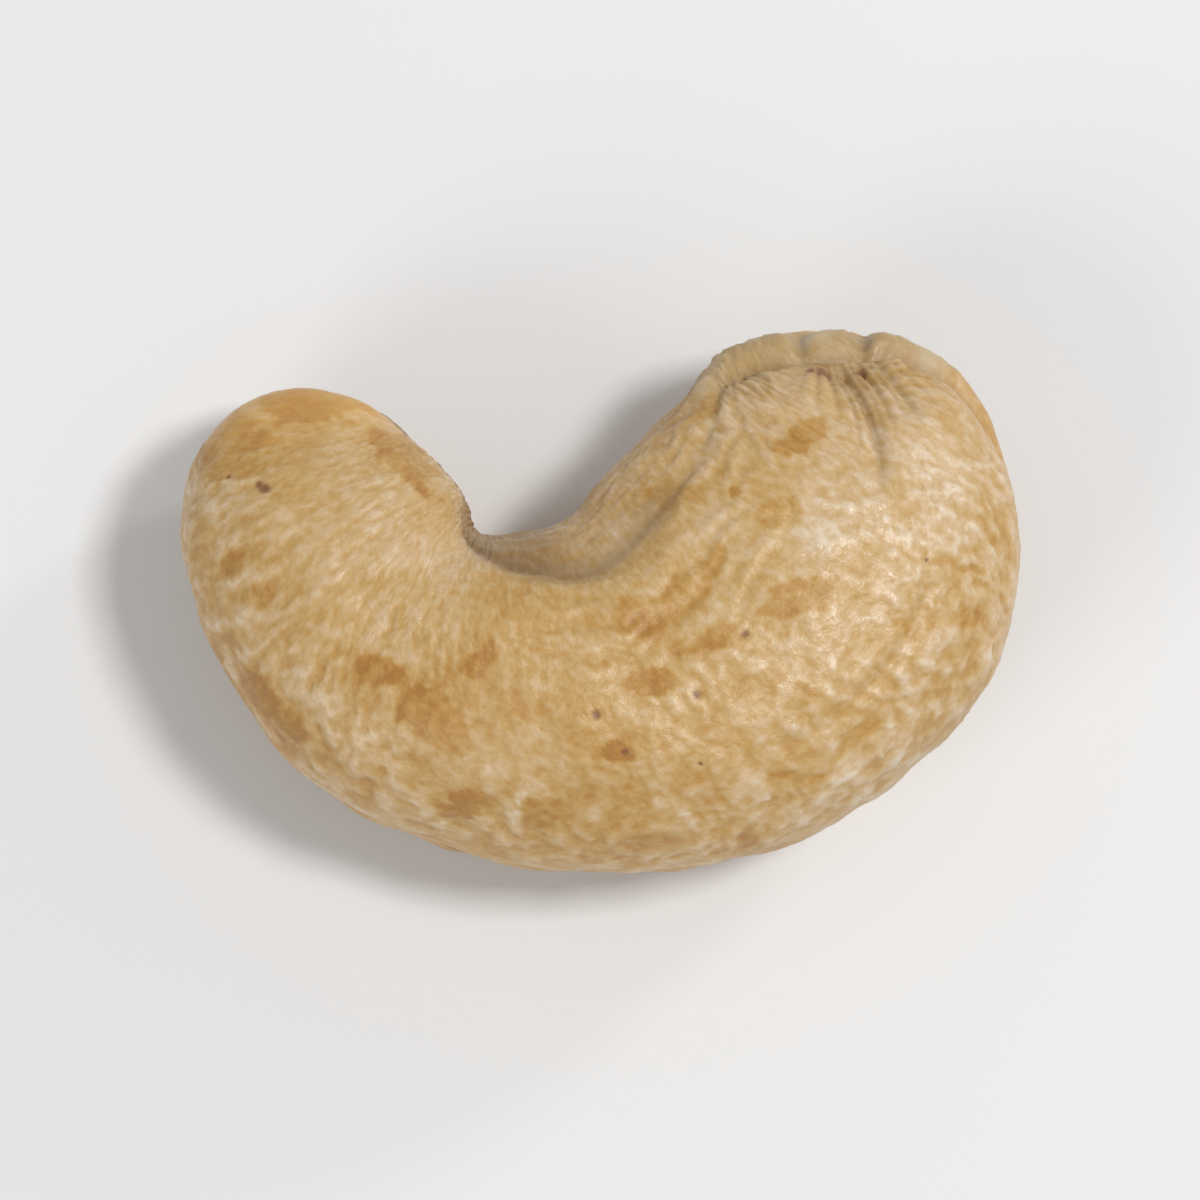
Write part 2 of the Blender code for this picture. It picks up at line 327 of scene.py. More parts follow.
# Broad tones of the upper side: middle, radius, the change of paleness, and the
# share of the wrinkles that is missing there
Tone = namedtuple("Tone", "x y radius change calm")
TONES = (
    # Paler over the stout half's right shoulder: partly its pinkish pale skin, partly
    # painted highlight
    Tone(10.2, 1.8, 4.2, 0.20, 0.0),
    Tone(6.8, 1.2, 1.0, 0.24, 0.0),
    Tone(7.9, 0.4, 0.9, -0.16, 0.0),
    Tone(4.8, 5.8, 2.6, 0.12, 0.9),
    Tone(7.8, -4.6, 2.8, 0.10, 0.0),
    Tone(-8.4, 1.8, 2.8, 0.18, 0.5),
    Tone(-1.5, -3.4, 4.0, -0.04, 0.2),
    Tone(3.7, 3.0, 3.6, 0.08, 0.85),
    Tone(-5.0, 1.0, 2.4, 0.04, 0.85),
    Tone(-9.5, 6.2, 2.2, 0.0, 0.7),
    Tone(10.8, 5.4, 2.4, 0.06, 0.6),
)
TONE_HEIGHTS = (-1.0, 1.5)

# Soft changes of paleness all over
EVEN_PALENESS = 0.5
BROAD = Pattern(2.2, 0.18, 71.0)
CLOUDS = Pattern(1.3, 0.10, 73.0)
CLOUD_WARP = Pattern(1.4, 0.5, 75.0)

# Zones of the skin, each with where it starts and where it is full. Angles are
# in degrees away from the outer seam, places run from tip to tip, and heights
# are above the seam.
OUTER_ANGLES = (100, 50)
OFF_RIM_ANGLES = (8, 30)
RIM_ANGLES = (15, 4)
STOUT_PLACES = (0.15, 0.5)
STOUT_HEIGHTS = (-1.0, 1.0)
SLENDER_PLACES = (0.78, 0.95)
TIP_HEIGHTS = (-1.0, 1.5)
TIP_COLOUR = 0.8
TIP_COLOUR_VARIES = 0.5
SEAM_RIDGE_ANGLES = (128, 150)
SEAM_RIDGE_PLACES = (-0.3, 0.1)
SEAM_RIDGE_ENDS = (1.0, 0.9)
# The wall under the seam in the hollow is darker partly for its greyer colour and partly
# as painted shade; the valley over it is painted shade
WALL_ANGLES = (118, 142)
WALL_HEIGHTS = (0.35, -0.35)
WALL_PLACES = (0.3, 0.0)
VALLEY_ANGLES = (150, 165)
VALLEY_HALF_WIDTH = 0.55
VALLEY_SLENDER_PLACES = (-0.45, -0.2)
VALLEY_STOUT_PLACES = (0.62, 0.42)

# How deep a fold is where its painted shade is full, and how much more a pleat counts
FULL_FOLD_DEPTH = 0.3
PLEAT_SHADE_WEIGHT = 2

# The skin's colours by paleness, as they look in the photograph's light
SKIN_TONES = (
    (0.00, (168, 119, 54)),
    (0.25, (185, 141, 74)),
    (0.50, (196, 160, 103)),
    (0.75, (208, 179, 138)),
    (1.00, (222, 204, 178)),
)

# What lies over them, from the first to the last: the value on the points that
# says where, the share that covers, and the colour. Painted shade and painted
# highlight are among them.
Cover = namedtuple("Cover", "value share colour")
# Brown of the seam's dark crack, also used as painted shade in the folds
CRACK_AND_FOLD_SHADE_BROWN = (118, 92, 60)
COVERS = (
    Cover("rim", 0.15, (204, 150, 84)),
    Cover("tip", 0.6, (236, 178, 82)),
    # Darker wall under the seam in the hollow: partly its greyer colour, partly painted
    # shade
    Cover("wall_tint_and_shade", 0.65, (126, 93, 50)),
    # Painted shade along the valley over the seam in the hollow
    Cover("valley_shade", 0.55, (124, 99, 66)),
    Cover("lip", 0.6, (170, 150, 112)),
    # Painted highlight on the tops of the lip's lumps
    Cover("lobe_highlight", 0.55, (208, 196, 166)),
    # Painted shade in the folds and pleats
    Cover("fold", 0.35, CRACK_AND_FOLD_SHADE_BROWN),
    # The seam's dark crack, and painted shade in the lip's creases
    Cover("crack", 0.55, CRACK_AND_FOLD_SHADE_BROWN),
)
SPECK_BROWN = (124, 76, 46)
SPECK_EDGE = (0.2, 0.9)
SPECK_COVER = 0.85

# Unevenness too fine for the mesh: length, and the noise's detail and roughness
Grit = namedtuple("Grit", "length detail roughness")
GRAIN = Grit(0.34, 3.0, 0.6)
PORES = Grit(0.16, 4.0, 0.65)
GLOSS = Grit(0.5, 3.0, 0.5)
GRIT_RANGE = (0.3, 0.7)
GRAIN_SHARE = 0.07

# Streaks of that kind, drawn out round the body
STREAK_SPACING = 0.28
STREAK_LENGTH = 0.50
STREAK_DETAIL = 3.0
STREAK_ROUGHNESS = 0.6
STREAK_SHARE = 0.13

# Pale skin is waxier than amber skin
DULL_PALENESS = 0.3
DULL_ROUGHNESS = 0.42
WAXY_PALENESS = 0.9
WAXY_ROUGHNESS = 0.28
GLOSS_RANGE = (0.2, 0.8)
GLOSS_CHANGE = (-0.05, 0.07)

# Light scatters a little way inside the kernel, red light farthest
SCATTER_SHARE = 0.12
SCATTER_RADIUS = (1.0, 0.62, 0.32)
SCATTER_DEPTH = 0.7

# The bump made of streaks and pores
PORE_SHARE = 0.4
BUMP_STRENGTH = 0.8
BUMP_DEPTH = 0.05


def smooth(start, full, value):
    """A soft step from 0 at start to 1 at full, which may be the lower one."""
    share = np.clip((value - start) / (full - start), 0, 1)
    return share * share * (3 - 2 * share)


def hump(offset, width):
    """A soft hump: 1 where the offset is 0, and falling away over a width."""
    return np.exp(-((offset / width) ** 2))


def spline(places, values, at):
    """A natural cubic curve through values at places, read at each of at."""
    gaps = np.diff(places)
    slopes = np.diff(values) / gaps
    bends = np.eye(len(places))
    turns = np.zeros(len(places))
    for i in range(1, len(places) - 1):
        bends[i, i - 1 : i + 2] = gaps[i - 1], 2 * (gaps[i - 1] + gaps[i]), gaps[i]
        turns[i] = 6 * (slopes[i] - slopes[i - 1])
    curve = np.linalg.solve(bends, turns)
    cell = np.clip(np.searchsorted(places, at, side="right") - 1, 0, len(gaps) - 1)
    before = at - places[cell]
    after = places[cell + 1] - at
    gap = gaps[cell]
    bowed = (curve[cell] * after**3 + curve[cell + 1] * before**3) / (6 * gap)
    first = (values[cell] / gap - curve[cell] * gap / 6) * after
    second = (values[cell + 1] / gap - curve[cell + 1] * gap / 6) * before
    return bowed + first + second


def sections_at(place):
    """Every value of the cross-sections, blended smoothly along the body."""
    columns = np.array(SECTIONS).T
    blended = [place] + [spline(columns[0], column, place) for column in columns[1:]]
    return Section(*blended)


def closing(place, stout_bluntness):
    """The share of its full size that the body has at a place: 0 at each tip."""
    bluntness = np.where(place < 0, SLENDER_TIP_BLUNTNESS, stout_bluntness)
    return np.sqrt(np.clip(1 - np.abs(place) ** bluntness, 0, 1))


def skin_travel():
    """Places from tip to tip, and the way over the skin to each of them."""
    place = np.sin(np.linspace(-np.pi / 2, np.pi / 2, SPINE_SAMPLES))
    along = place * HALF_SPINE
    out = closing(place, STOUT_TIP_BLUNTNESS) * TYPICAL_HALF_WIDTH
    steps = np.hypot(np.diff(along), np.diff(out))
    return place, np.concatenate([[0], np.cumsum(steps)])


def even_places(share):
    """Places for shares -1 to 1 of the way from tip to tip, over the skin."""
    place, travelled = skin_travel()
    return np.interp(share, 2 * travelled / travelled[-1] - 1, place)


def pinch_rise(place, across):
    """How far the seam climbs above its surface, round the stout tip alone."""
    near_tip = np.clip((place - PINCH_START) / (PINCH_FULL - PINCH_START), 0, 1)
    return PINCH_RISE * near_tip**2 * hump(across - PINCH_X, PINCH_SPREAD)


def body_point(place, angle):
    """Points of the smooth body, and their height above the seam's surface.

    angle runs round a section: 0 at the outer seam, a quarter turn on top and
    a half turn at the seam of the hollow side.
    """
    here = sections_at(place)
    outer_share = (1 + np.cos(angle)) / 2
    turned = angle + np.radians(here.seam_out) * outer_share
    turned -= np.radians(here.seam_in) * (1 - outer_share)
    side, top = np.cos(turned), np.sin(turned)
    corner = np.abs(side) ** SECTION_SQUARENESS + np.abs(top) ** SECTION_SQUARENESS
    reach = corner ** (-1 / SECTION_SQUARENESS)
    wide = here.half_width * closing(place, STOUT_TIP_BLUNTNESS) * reach
    tall = np.where(top > 0, here.over, here.under) * reach
    tall = tall * closing(place, STOUT_TIP_BLUNTNESS_UPRIGHT)
    fan = np.radians(here.fan)
    back = here.lean * tall * top
    x = here.x + wide * side * np.sin(fan) - back * np.cos(fan)
    y = here.y - wide * side * np.cos(fan) - back * np.sin(fan)
    z = here.z + tall * top
    return np.stack([x, y, z], axis=1), tall * np.sin(angle) - pinch_rise(place, x)


def seam_relief(place, angle, height):
    """The groove between the halves, shallowest along the hollow side."""
    in_hollow = (1 - np.cos(angle)) / 2
    depth = SEAM_DEPTH + (SEAM_DEPTH_IN_HOLLOW - SEAM_DEPTH) * in_hollow
    depth += (SEAM_DEPTH_AT_TIPS - depth) * np.abs(place) ** SEAM_DEEPENING
    return -depth * np.exp(-np.abs(height) / SEAM_WIDTH)


def lip_relief(place, height, across):
    """The lower half's edge, which stands out in lobes round the stout tip."""
    near_tip = np.clip((place - LIP_START) / LIP_RISE, 0, 1) ** 2
    lobes = np.ones(len(across))
    for crease in LIP_CREASES:
        lobes -= LIP_CREASE_SHARE * hump(across - crease, LIP_CREASE_WIDTH)
    return LIP_HEIGHT * near_tip * lobes * hump(height + LIP_BELOW_SEAM, LIP_WIDTH)


def along_fold(fold, points):
    """How far along a fold each point lies, as a share, and how far aside."""
    start = np.array([fold.x0, fold.y0])
    run = np.array([fold.x1, fold.y1]) - start
    length = np.hypot(*run)
    heading = run / length
    offset = points[:, :2] - start
    aside = offset @ np.array([-heading[1], heading[0]])
    return offset @ heading / length, aside


def fold_relief(folds, points, height):
    """Folds that are deepest at the pinch, on the upper side only."""
    total = np.zeros(len(points))
    for fold in folds:
        share, aside = along_fold(fold, points)
        share = np.clip(share, 0, 1)
        aside = aside - fold.bow * 4 * share * (1 - share)
        fading = (1 - share) ** FOLD_FADING
        total -= fold.depth * fading * hump(aside, fold.width)
    return total * np.clip(height / FOLD_EASE, 0, 1)


def dent_relief(points, height):
    """Broad, shallow hollows of the upper side."""
    upper = np.clip(height / SIDE_EASE, 0, 1)
    total = np.zeros(len(points))
    for dent in DENTS:
        away = np.hypot(points[:, 0] - dent.x, points[:, 1] - dent.y)
        total -= dent.depth * hump(away, dent.radius)
    return total * upper


def swell_relief(points, height):
    """Uneven swells, the same on every run, and slighter underneath."""
    places = [Vector(point) / SWELL_LENGTH + SWELL_START for point in points]
    swell = SWELL_HEIGHT * np.array([noise.noise(place) for place in places])
    underneath = np.clip(-height / SIDE_EASE, 0, 1)
    return swell * (1 - (1 - SWELL_SHARE_UNDERNEATH) * underneath)


def grid_cube():
    """A cube cut into a grid, finer along X."""
    mesh = bmesh.new()
    bmesh.ops.create_cube(mesh, size=2)
    for axis, quads in enumerate((LONG_QUADS, RING_QUADS, RING_QUADS)):
        edges = [
            edge
            for edge in mesh.edges
            if abs(edge.verts[0].co[axis] - edge.verts[1].co[axis]) > 1
        ]
        bmesh.ops.subdivide_edges(mesh, edges=edges, cuts=quads - 1, use_grid_fill=True)
    return mesh


def wrapped(cube):
    """Each cube corner's place along the body and angle round it.

    The cube is first made a round-ended rod: its last stretches and end faces
    become half spheres, and the stretch between them keeps straight sides.
    """
    straight = LONG_QUADS / RING_QUADS - 1
    along = np.abs(cube[:, 0]) * LONG_QUADS / RING_QUADS
    bent = np.clip(along - straight, 0, 1)
    heading = np.tan(np.pi / 4 * np.column_stack([bent, cube[:, 1], cube[:, 2]]))
    climb = np.arctan2(heading[:, 0], np.hypot(heading[:, 1], heading[:, 2]))
    travelled = np.pi / 4 * np.minimum(along, straight) + climb
    share = travelled / (np.pi / 4 * straight + np.pi / 2)
    angle = np.arctan2(heading[:, 2], heading[:, 1])
    return even_places(np.sign(cube[:, 0]) * share), angle


def positions(mesh):
    return np.array([vertex.co for vertex in mesh.verts])


def place_vertices(mesh, points):
    for vertex, point in zip(mesh.verts, points):
        vertex.co = point


def settled(points):
    """Points at the driving sizes, with the origin under the kernel's middle."""
    size = (KERNEL_LENGTH, KERNEL_DEPTH, KERNEL_THICKNESS + FLAT_DEPTH)
    low, high = points.min(axis=0), points.max(axis=0)
    points = (points - (low + high) / 2) * size / (high - low)
    points[:, 2] += KERNEL_THICKNESS - size[2] / 2
    return points


Skin = namedtuple("Skin", "place angle points height plan along around")


def skin_at(place, angle):
    """The smooth body's points with what the fine relief and colours read."""
    points, height = body_point(place, angle)
    places, travelled = skin_travel()
    along = np.interp(place, places, travelled)
    around = np.abs(angle) * TYPICAL_HALF_WIDTH * closing(place, STOUT_TIP_BLUNTNESS)
    return Skin(place, angle, points, height, settled(points), along, around)


def noise_at(points, length, start):
    """Smooth noise, about -1 to 1, over lumps of a length."""
    return np.array([noise.noise(Vector(point)) for point in points / length + start])


def pattern_at(points, pattern):
    """The change that a pattern makes to a value at each point."""
    return pattern.share * noise_at(points, pattern.length, pattern.start)


def warped(points, pattern):
    """Points pushed about by noise, so that patterns read there lose their order."""
    starts = [pattern.start + WARP_START_STEP * axis for axis in range(3)]
    shifts = [noise_at(points, pattern.length, start) for start in starts]
    return points + pattern.share * np.column_stack(shifts)


def crests(values):
    """Thin ridges, 1 at their tops, along the lines where a noise is zero."""
    return np.clip(1 - np.abs(values) / CRUMPLE_WIDTH, 0, 1) ** CRUMPLE_SHARPNESS


def strokes_at(skin, strokes):
    """Strokes across the body: above 0 on their tops and below 0 between them."""
    bend = noise_at(skin.points, BEND_LENGTH, strokes.start)
    sway = noise_at(skin.points, SWAY_LENGTH, strokes.start + SWAY_START)
    along = skin.along + BEND_ALONG * bend + SWAY_ALONG * sway
    around = skin.around + SWAY_AROUND * sway
    upright = skin.points[:, 2] / strokes.around
    cells = np.column_stack([along / strokes.along, around / strokes.around, upright])
    uneven = noise_at(cells, 1.0, strokes.start + STROKE_START)
    return smooth(strokes.foot, strokes.top, uneven) - strokes.level


def round_side(skin, angles):
    """0 to 1 between two angles away from the outer seam, in degrees."""
    return smooth(*angles, np.degrees(np.abs(skin.angle)))


def furrow_relief(skin):
    """Long, shallow furrows of the upper side."""
    total = np.zeros(len(skin.place))
    for furrow in FURROWS:
        share, aside = along_fold(furrow, skin.plan)
        aside = aside - furrow.bow * 4 * share * (1 - share)
        ends = smooth(*FURROW_START, share) * smooth(*FURROW_END, share)
        total -= furrow.depth * ends * hump(aside, furrow.width)
    return total * smooth(0, SIDE_EASE, skin.height)


def amber_field(skin):
    """Up to 1 inside the amber patches, where the surface is smooth."""
    wobble = sum(pattern_at(skin.points, pattern) for pattern in PATCH_WOBBLES)
    plan = warped(skin.plan, PATCH_WARP)
    field = np.full(len(skin.place), -1.0)
    for patch in PATCHES:
        turn = np.radians(patch.turn)
        east = plan[:, 0] - patch.x
        north = plan[:, 1] - patch.y
        long_way = (east * np.cos(turn) + north * np.sin(turn)) / patch.along
        short_way = (north * np.cos(turn) - east * np.sin(turn)) / patch.across
        field = np.maximum(field, 1 - np.hypot(long_way, short_way) + wobble)
    on_top = smooth(*PATCH_EDGE, field) * smooth(*PATCH_HEIGHTS, skin.height)
    blotch = pattern_at(skin.points, BLOTCHES) + BLOTCH_WOBBLE * wobble
    elsewhere = smooth(*BLOTCH_EDGE, blotch) * smooth(*BLOTCH_HEIGHTS, skin.height)
    strength = AMBER_STRENGTH + pattern_at(skin.points, AMBER_VARIES)
    return np.maximum(on_top, elsewhere) * np.clip(strength, AMBER_FAINTEST, 1)


def tone_fields(skin):
    """Broad changes of paleness over the upper side, and how calm the skin is."""
    pale = np.zeros(len(skin.place))
    calm = np.zeros(len(skin.place))
    for tone in TONES:
        away = np.hypot(skin.plan[:, 0] - tone.x, skin.plan[:, 1] - tone.y)
        near = hump(away, tone.radius) * smooth(*TONE_HEIGHTS, skin.height)
        pale += tone.change * near
        calm = np.maximum(calm, tone.calm * near)
    return pale, calm


def speck_field(skin, specks, lowest):
    """1 in the middle of each dark speck that lies above a height."""
    wobble = 1 + pattern_at(skin.points, SPECK_WOBBLE)
    field = np.zeros(len(skin.place))
    for speck in specks:
        away = np.hypot(skin.plan[:, 0] - speck.x, skin.plan[:, 1] - speck.y)
        field = np.maximum(field, hump(away * wobble, speck.radius))
    return field * smooth(lowest, lowest + SPECK_EASE, skin.height)


def lip_fields(skin):
    """Where the lip is, its lumps, and the creases across it."""
    off_crest = skin.height + LIP_BELOW_SEAM
    lip = smooth(LIP_START, LIP_START + LIP_RISE, skin.place)
    lip = lip * hump(off_crest, LIP_SPREAD * LIP_WIDTH)
    lip *= smooth(*LIP_FADES, skin.points[:, 0])
    lump = pattern_at(skin.points, LIP_LUMPS)
    creases = np.zeros(len(lip))
    for crease in LIP_CREASES:
        aside = skin.points[:, 0] + LIP_CREASE_SWAY * lump - crease
        width = LIP_CREASE_NARROWING * LIP_CREASE_WIDTH
        creases = np.maximum(creases, lip * hump(aside, width))
    return lip, lump, creases


def crack_field(skin):
    """The crack in the seam, which opens unevenly and most at the tips."""
    at_tips = smooth(*CRACK_PLACES, np.abs(skin.place))
    crack = hump(skin.height, CRACK_HALF_WIDTH)
    crack *= CRACK_SHARE_AWAY + (1 - CRACK_SHARE_AWAY) * at_tips
    return crack * (CRACK_OPEN + pattern_at(skin.points, CRACK_UNEVENNESS))


def hollow_fields(skin):
    """Where the hollow is darkened: the wall under the seam, partly for its greyer colour
    and partly as painted shade, and the valley over it as painted shade.
    """
    wall_tint_and_shade = round_side(skin, WALL_ANGLES) * smooth(*WALL_HEIGHTS, skin.height)
    wall_tint_and_shade *= smooth(*WALL_PLACES, skin.place)
    valley_shade = round_side(skin, VALLEY_ANGLES) * hump(skin.height, VALLEY_HALF_WIDTH)
    valley_shade *= smooth(*VALLEY_STOUT_PLACES, skin.place)
    valley_shade *= smooth(*VALLEY_SLENDER_PLACES, skin.place)
    return wall_tint_and_shade, valley_shade


def fine_skin(skin):
    """The relief that is too fine for the solid, and the values for the material."""
    patchy = pattern_at(skin.points, PATCHY)
    amber = amber_field(skin)
    tone, calm = tone_fields(skin)
    plain = (1 - AMBER_CALM * amber) * (1 - calm)
    outer = round_side(skin, OUTER_ANGLES)
    stout = smooth(*STOUT_PLACES, skin.place) * smooth(*STOUT_HEIGHTS, skin.height)
    slender = smooth(*SLENDER_PLACES, -skin.place)
    beside_seam = round_side(skin, SEAM_RIDGE_ANGLES)
    beside_seam = beside_seam * smooth(*SEAM_RIDGE_PLACES, skin.place)
    beside_seam *= smooth(*SEAM_RIDGE_ENDS, np.abs(skin.place))
    off_rim = COMB_ON_RIM + (1 - COMB_ON_RIM) * round_side(skin, OFF_RIM_ANGLES)

    combed = COMB_EVERYWHERE + COMB_OUTER * outer + COMB_STOUT * stout
    combed = combed * smooth(*COMB_PATCHES, patchy)
    combed *= plain * (1 - SLENDER_CALM * slender)
    combed *= (1 - SEAM_CALM * beside_seam) * off_rim
    crumpled = plain * (CRUMPLE_EVERYWHERE + CRUMPLE_STOUT * stout)
    comb = combed * strokes_at(skin, COMB)
    fine_comb = combed * strokes_at(skin, FINE_COMB)
    ridges = beside_seam * strokes_at(skin, SEAM_RIDGES)
    crumple = pattern_at(warped(skin.points, CRUMPLE_WARP), CRUMPLE)
    crumple = crumpled * (crests(crumple) - CRUMPLE_LEVEL)
    lip, lip_lump, lip_crease = lip_fields(skin)
    speck = np.maximum(
        speck_field(skin, SPECKS, SPECK_LOWEST),
        speck_field(skin, PINCH_SPECKS, PINCH_SPECK_LOWEST),
    )

    relief = COMB.height * comb + FINE_COMB.height * fine_comb
    relief += SEAM_RIDGES.height * ridges + CRUMPLE_HEIGHT * crumple
    relief += pattern_at(skin.points, LUMPS)
    relief += LIP_LUMP_HEIGHT * lip * lip_lump - LIP_CREASE_DEPTH * lip_crease
    relief -= SPECK_DEPTH * speck

    pale = EVEN_PALENESS + tone + pattern_at(skin.points, BROAD)
    pale += (1 - calm) * pattern_at(warped(skin.points, CLOUD_WARP), CLOUDS)
    # Paler on the tops of strokes, ridges and crests: partly the skin's streaky colour,
    # partly painted highlight
    pale += COMB.share * comb + FINE_COMB.share * fine_comb
    pale += SEAM_RIDGES.share * ridges + CRUMPLE_SHARE * crumple
    pale -= AMBER_DARKENING * amber

    tip = slender * smooth(*TIP_HEIGHTS, skin.height)
    wall_tint_and_shade, valley_shade = hollow_fields(skin)
    values = {
        "pale": pale,
        "tip": tip * (TIP_COLOUR + TIP_COLOUR_VARIES * patchy),
        # painted shade in the hollow: the wall partly its greyer colour, the valley all
        # painted shade
        "wall_tint_and_shade": wall_tint_and_shade,
        "valley_shade": valley_shade,
        "lip": lip,
        # painted highlight on the tops of the lip's lumps
        "lobe_highlight": smooth(*LOBE_TOPS, lip_lump) * lip,
        # the seam's dark crack, and painted shade in the lip's creases
        "crack": np.maximum(crack_field(skin), LIP_CREASE_SHADE * lip_crease),
        "speck": speck,
        "rim": round_side(skin, RIM_ANGLES),
        "along": skin.along,
        "around": skin.around,
    }
    return relief, values


def kernel_mesh():
    """The kernel's fine mesh, with the values that colour it on its points."""
    mesh = grid_cube()
    place, angle = wrapped(positions(mesh))
    skin = skin_at(place, angle)
    place_vertices(mesh, skin.points)
    mesh.normal_update()
    bmesh.ops.recalc_face_normals(mesh, faces=mesh.faces)
    mesh.normal_update()
    normals = np.array([vertex.normal for vertex in mesh.verts])
    folds = fold_relief(FOLDS, skin.points, skin.height)
    pleats = fold_relief(PLEATS, skin.points, skin.height)
    fine, values = fine_skin(skin)
    relief = seam_relief(place, angle, skin.height)
    relief += lip_relief(place, skin.height, skin.points[:, 0])
    relief += folds + pleats + fine
    relief += dent_relief(skin.points, skin.height)
    relief += swell_relief(skin.points, skin.height)
    relief += furrow_relief(skin)
    relief -= CRACK_DEPTH * values["crack"]
    points = settled(skin.points + normals * relief[:, None])
    points[:, 2] = np.maximum(points[:, 2], 0)
    place_vertices(mesh, points * MM)
    # Painted shade in the folds and pleats, strongest where they are deepest
    values["fold"] = np.clip(-(folds + PLEAT_SHADE_WEIGHT * pleats) / FULL_FOLD_DEPTH, 0, 1)
    data = bpy.data.meshes.new("kernel_skin")
    mesh.to_mesh(data)
    mesh.free()
    data.shade_smooth()
    for name, value in values.items():
        attribute = data.attributes.new(name, "FLOAT", "POINT")
        attribute.data.foreach_set("value", value.astype(np.float32))
    return data


def linear(colour):
    """A colour given as 0 to 255, as the shader's linear light."""
    shares = np.array(colour) / 255
    light = np.where(shares <= 0.04045, shares / 12.92, ((shares + 0.055) / 1.055) ** 2.4)
    return (*light, 1.0)


class Nodes:
    """Short ways to add and join the nodes of one material."""

    def __init__(self, tree):
        self.tree = tree

    def add(self, kind, output, inputs, **settings):
        node = self.tree.nodes.new(kind)
        for name, value in settings.items():
            setattr(node, name, value)
        for key, value in inputs.items():
            if isinstance(value, bpy.types.NodeSocket):
                self.tree.links.new(value, node.inputs[key])
            else:
                node.inputs[key].default_value = value
        return node.outputs[output]

    def value(self, name):
        return self.add("ShaderNodeAttribute", "Fac", {}, attribute_name=name)

    def noise(self, place, scale, detail, roughness):
        inputs = {
            "Vector": place,
            "Scale": scale,
            "Detail": detail,
            "Roughness": roughness,
        }
        return self.add("ShaderNodeTexNoise", "Fac", inputs)

    def grit(self, place, grit):
        """Noise of one of the named kinds, with its length in millimetres."""
        return self.noise(place, 1 / (grit.length * MM), grit.detail, grit.roughness)

    def step(self, value, ends, results):
        """A soft step from the first result to the second, between two ends."""
        inputs = {0: value, 1: ends[0], 2: ends[1], 3: results[0], 4: results[1]}
        return self.add("ShaderNodeMapRange", 0, inputs, interpolation_type="SMOOTHSTEP")

    def math(self, operation, first, second):
        return self.add("ShaderNodeMath", 0, {0: first, 1: second}, operation=operation)

    def height(self):
        place = self.add("ShaderNodeTexCoord", "Object", {})
        return self.add("ShaderNodeSeparateXYZ", "Z", {"Vector": place})

    def ramp(self, value, stops):
        node = self.tree.nodes.new("ShaderNodeValToRGB")
        marks = node.color_ramp.elements
        marks.remove(marks[0])
        for position, colour in stops[1:]:
            marks.new(position)
        for mark, (position, colour) in zip(marks, stops):
            mark.position = position
            mark.color = linear(colour)
        self.tree.links.new(value, node.inputs["Fac"])
        return node.outputs["Color"]

    def mix(self, share, first, second):
        """A share of the second colour over the first."""
        inputs = {0: share, 6: first, 7: second}
        return self.add("ShaderNodeMix", 2, inputs, data_type="RGBA")


def fine_streaks(nodes):
    """Noise for colour and bump, drawn out round the body, too fine for the mesh."""
    inputs = {
        "X": nodes.math("DIVIDE", nodes.value("along"), STREAK_SPACING),
        "Y": nodes.math("DIVIDE", nodes.value("around"), STREAK_LENGTH),
        "Z": nodes.math("DIVIDE", nodes.height(), STREAK_LENGTH * MM),
    }
    cells = nodes.add("ShaderNodeCombineXYZ", "Vector", inputs)
    return nodes.noise(cells, 1.0, STREAK_DETAIL, STREAK_ROUGHNESS)


def skin_colour(nodes, place, streaks):
    """The skin's colour: a ramp over its paleness, then what lies on it, painted shade
    and highlight among it.
    """
    streaked = nodes.step(streaks, GRIT_RANGE, (-STREAK_SHARE, STREAK_SHARE))
    grain = nodes.grit(place, GRAIN)
    grainy = nodes.step(grain, GRIT_RANGE, (-GRAIN_SHARE, GRAIN_SHARE))
    pale = nodes.math("ADD", nodes.value("pale"), streaked)
    colour = nodes.ramp(nodes.math("ADD", pale, grainy), SKIN_TONES)
    for cover in COVERS:
        share = nodes.math("MULTIPLY", nodes.value(cover.value), cover.share)
        colour = nodes.mix(share, colour, linear(cover.colour))
    share = nodes.step(nodes.value("speck"), SPECK_EDGE, (0.0, SPECK_COVER))
    return nodes.mix(share, colour, linear(SPECK_BROWN))


def skin_roughness(nodes, place):
    """Lower where the skin is pale and waxy, and uneven everywhere."""
    paleness = (DULL_PALENESS, WAXY_PALENESS)
    waxy = nodes.step(nodes.value("pale"), paleness, (DULL_ROUGHNESS, WAXY_ROUGHNESS))
    uneven = nodes.step(nodes.grit(place, GLOSS), GLOSS_RANGE, GLOSS_CHANGE)
    return nodes.math("ADD", waxy, uneven)


def kernel_material():
    """Skin whose colour and shine follow those values."""
    material = bpy.data.materials.new("kernel_skin")
    material.use_nodes = True
    tree = material.node_tree
    shader = tree.nodes["Principled BSDF"]
    nodes = Nodes(tree)
    place = nodes.add("ShaderNodeTexCoord", "Object", {})
    streaks = fine_streaks(nodes)
    tree.links.new(skin_colour(nodes, place, streaks), shader.inputs["Base Color"])
    tree.links.new(skin_roughness(nodes, place), shader.inputs["Roughness"])
    shader.inputs["Subsurface Weight"].default_value = SCATTER_SHARE
    shader.inputs["Subsurface Radius"].default_value = SCATTER_RADIUS
    shader.inputs["Subsurface Scale"].default_value = SCATTER_DEPTH * MM
    pores = nodes.math("MULTIPLY", nodes.grit(place, PORES), PORE_SHARE)
    inputs = {
        "Height": nodes.math("ADD", pores, streaks),
        "Strength": BUMP_STRENGTH,
        "Distance": BUMP_DEPTH * MM,
    }
    tree.links.new(nodes.add("ShaderNodeBump", "Normal", inputs), shader.inputs["Normal"])
    return material


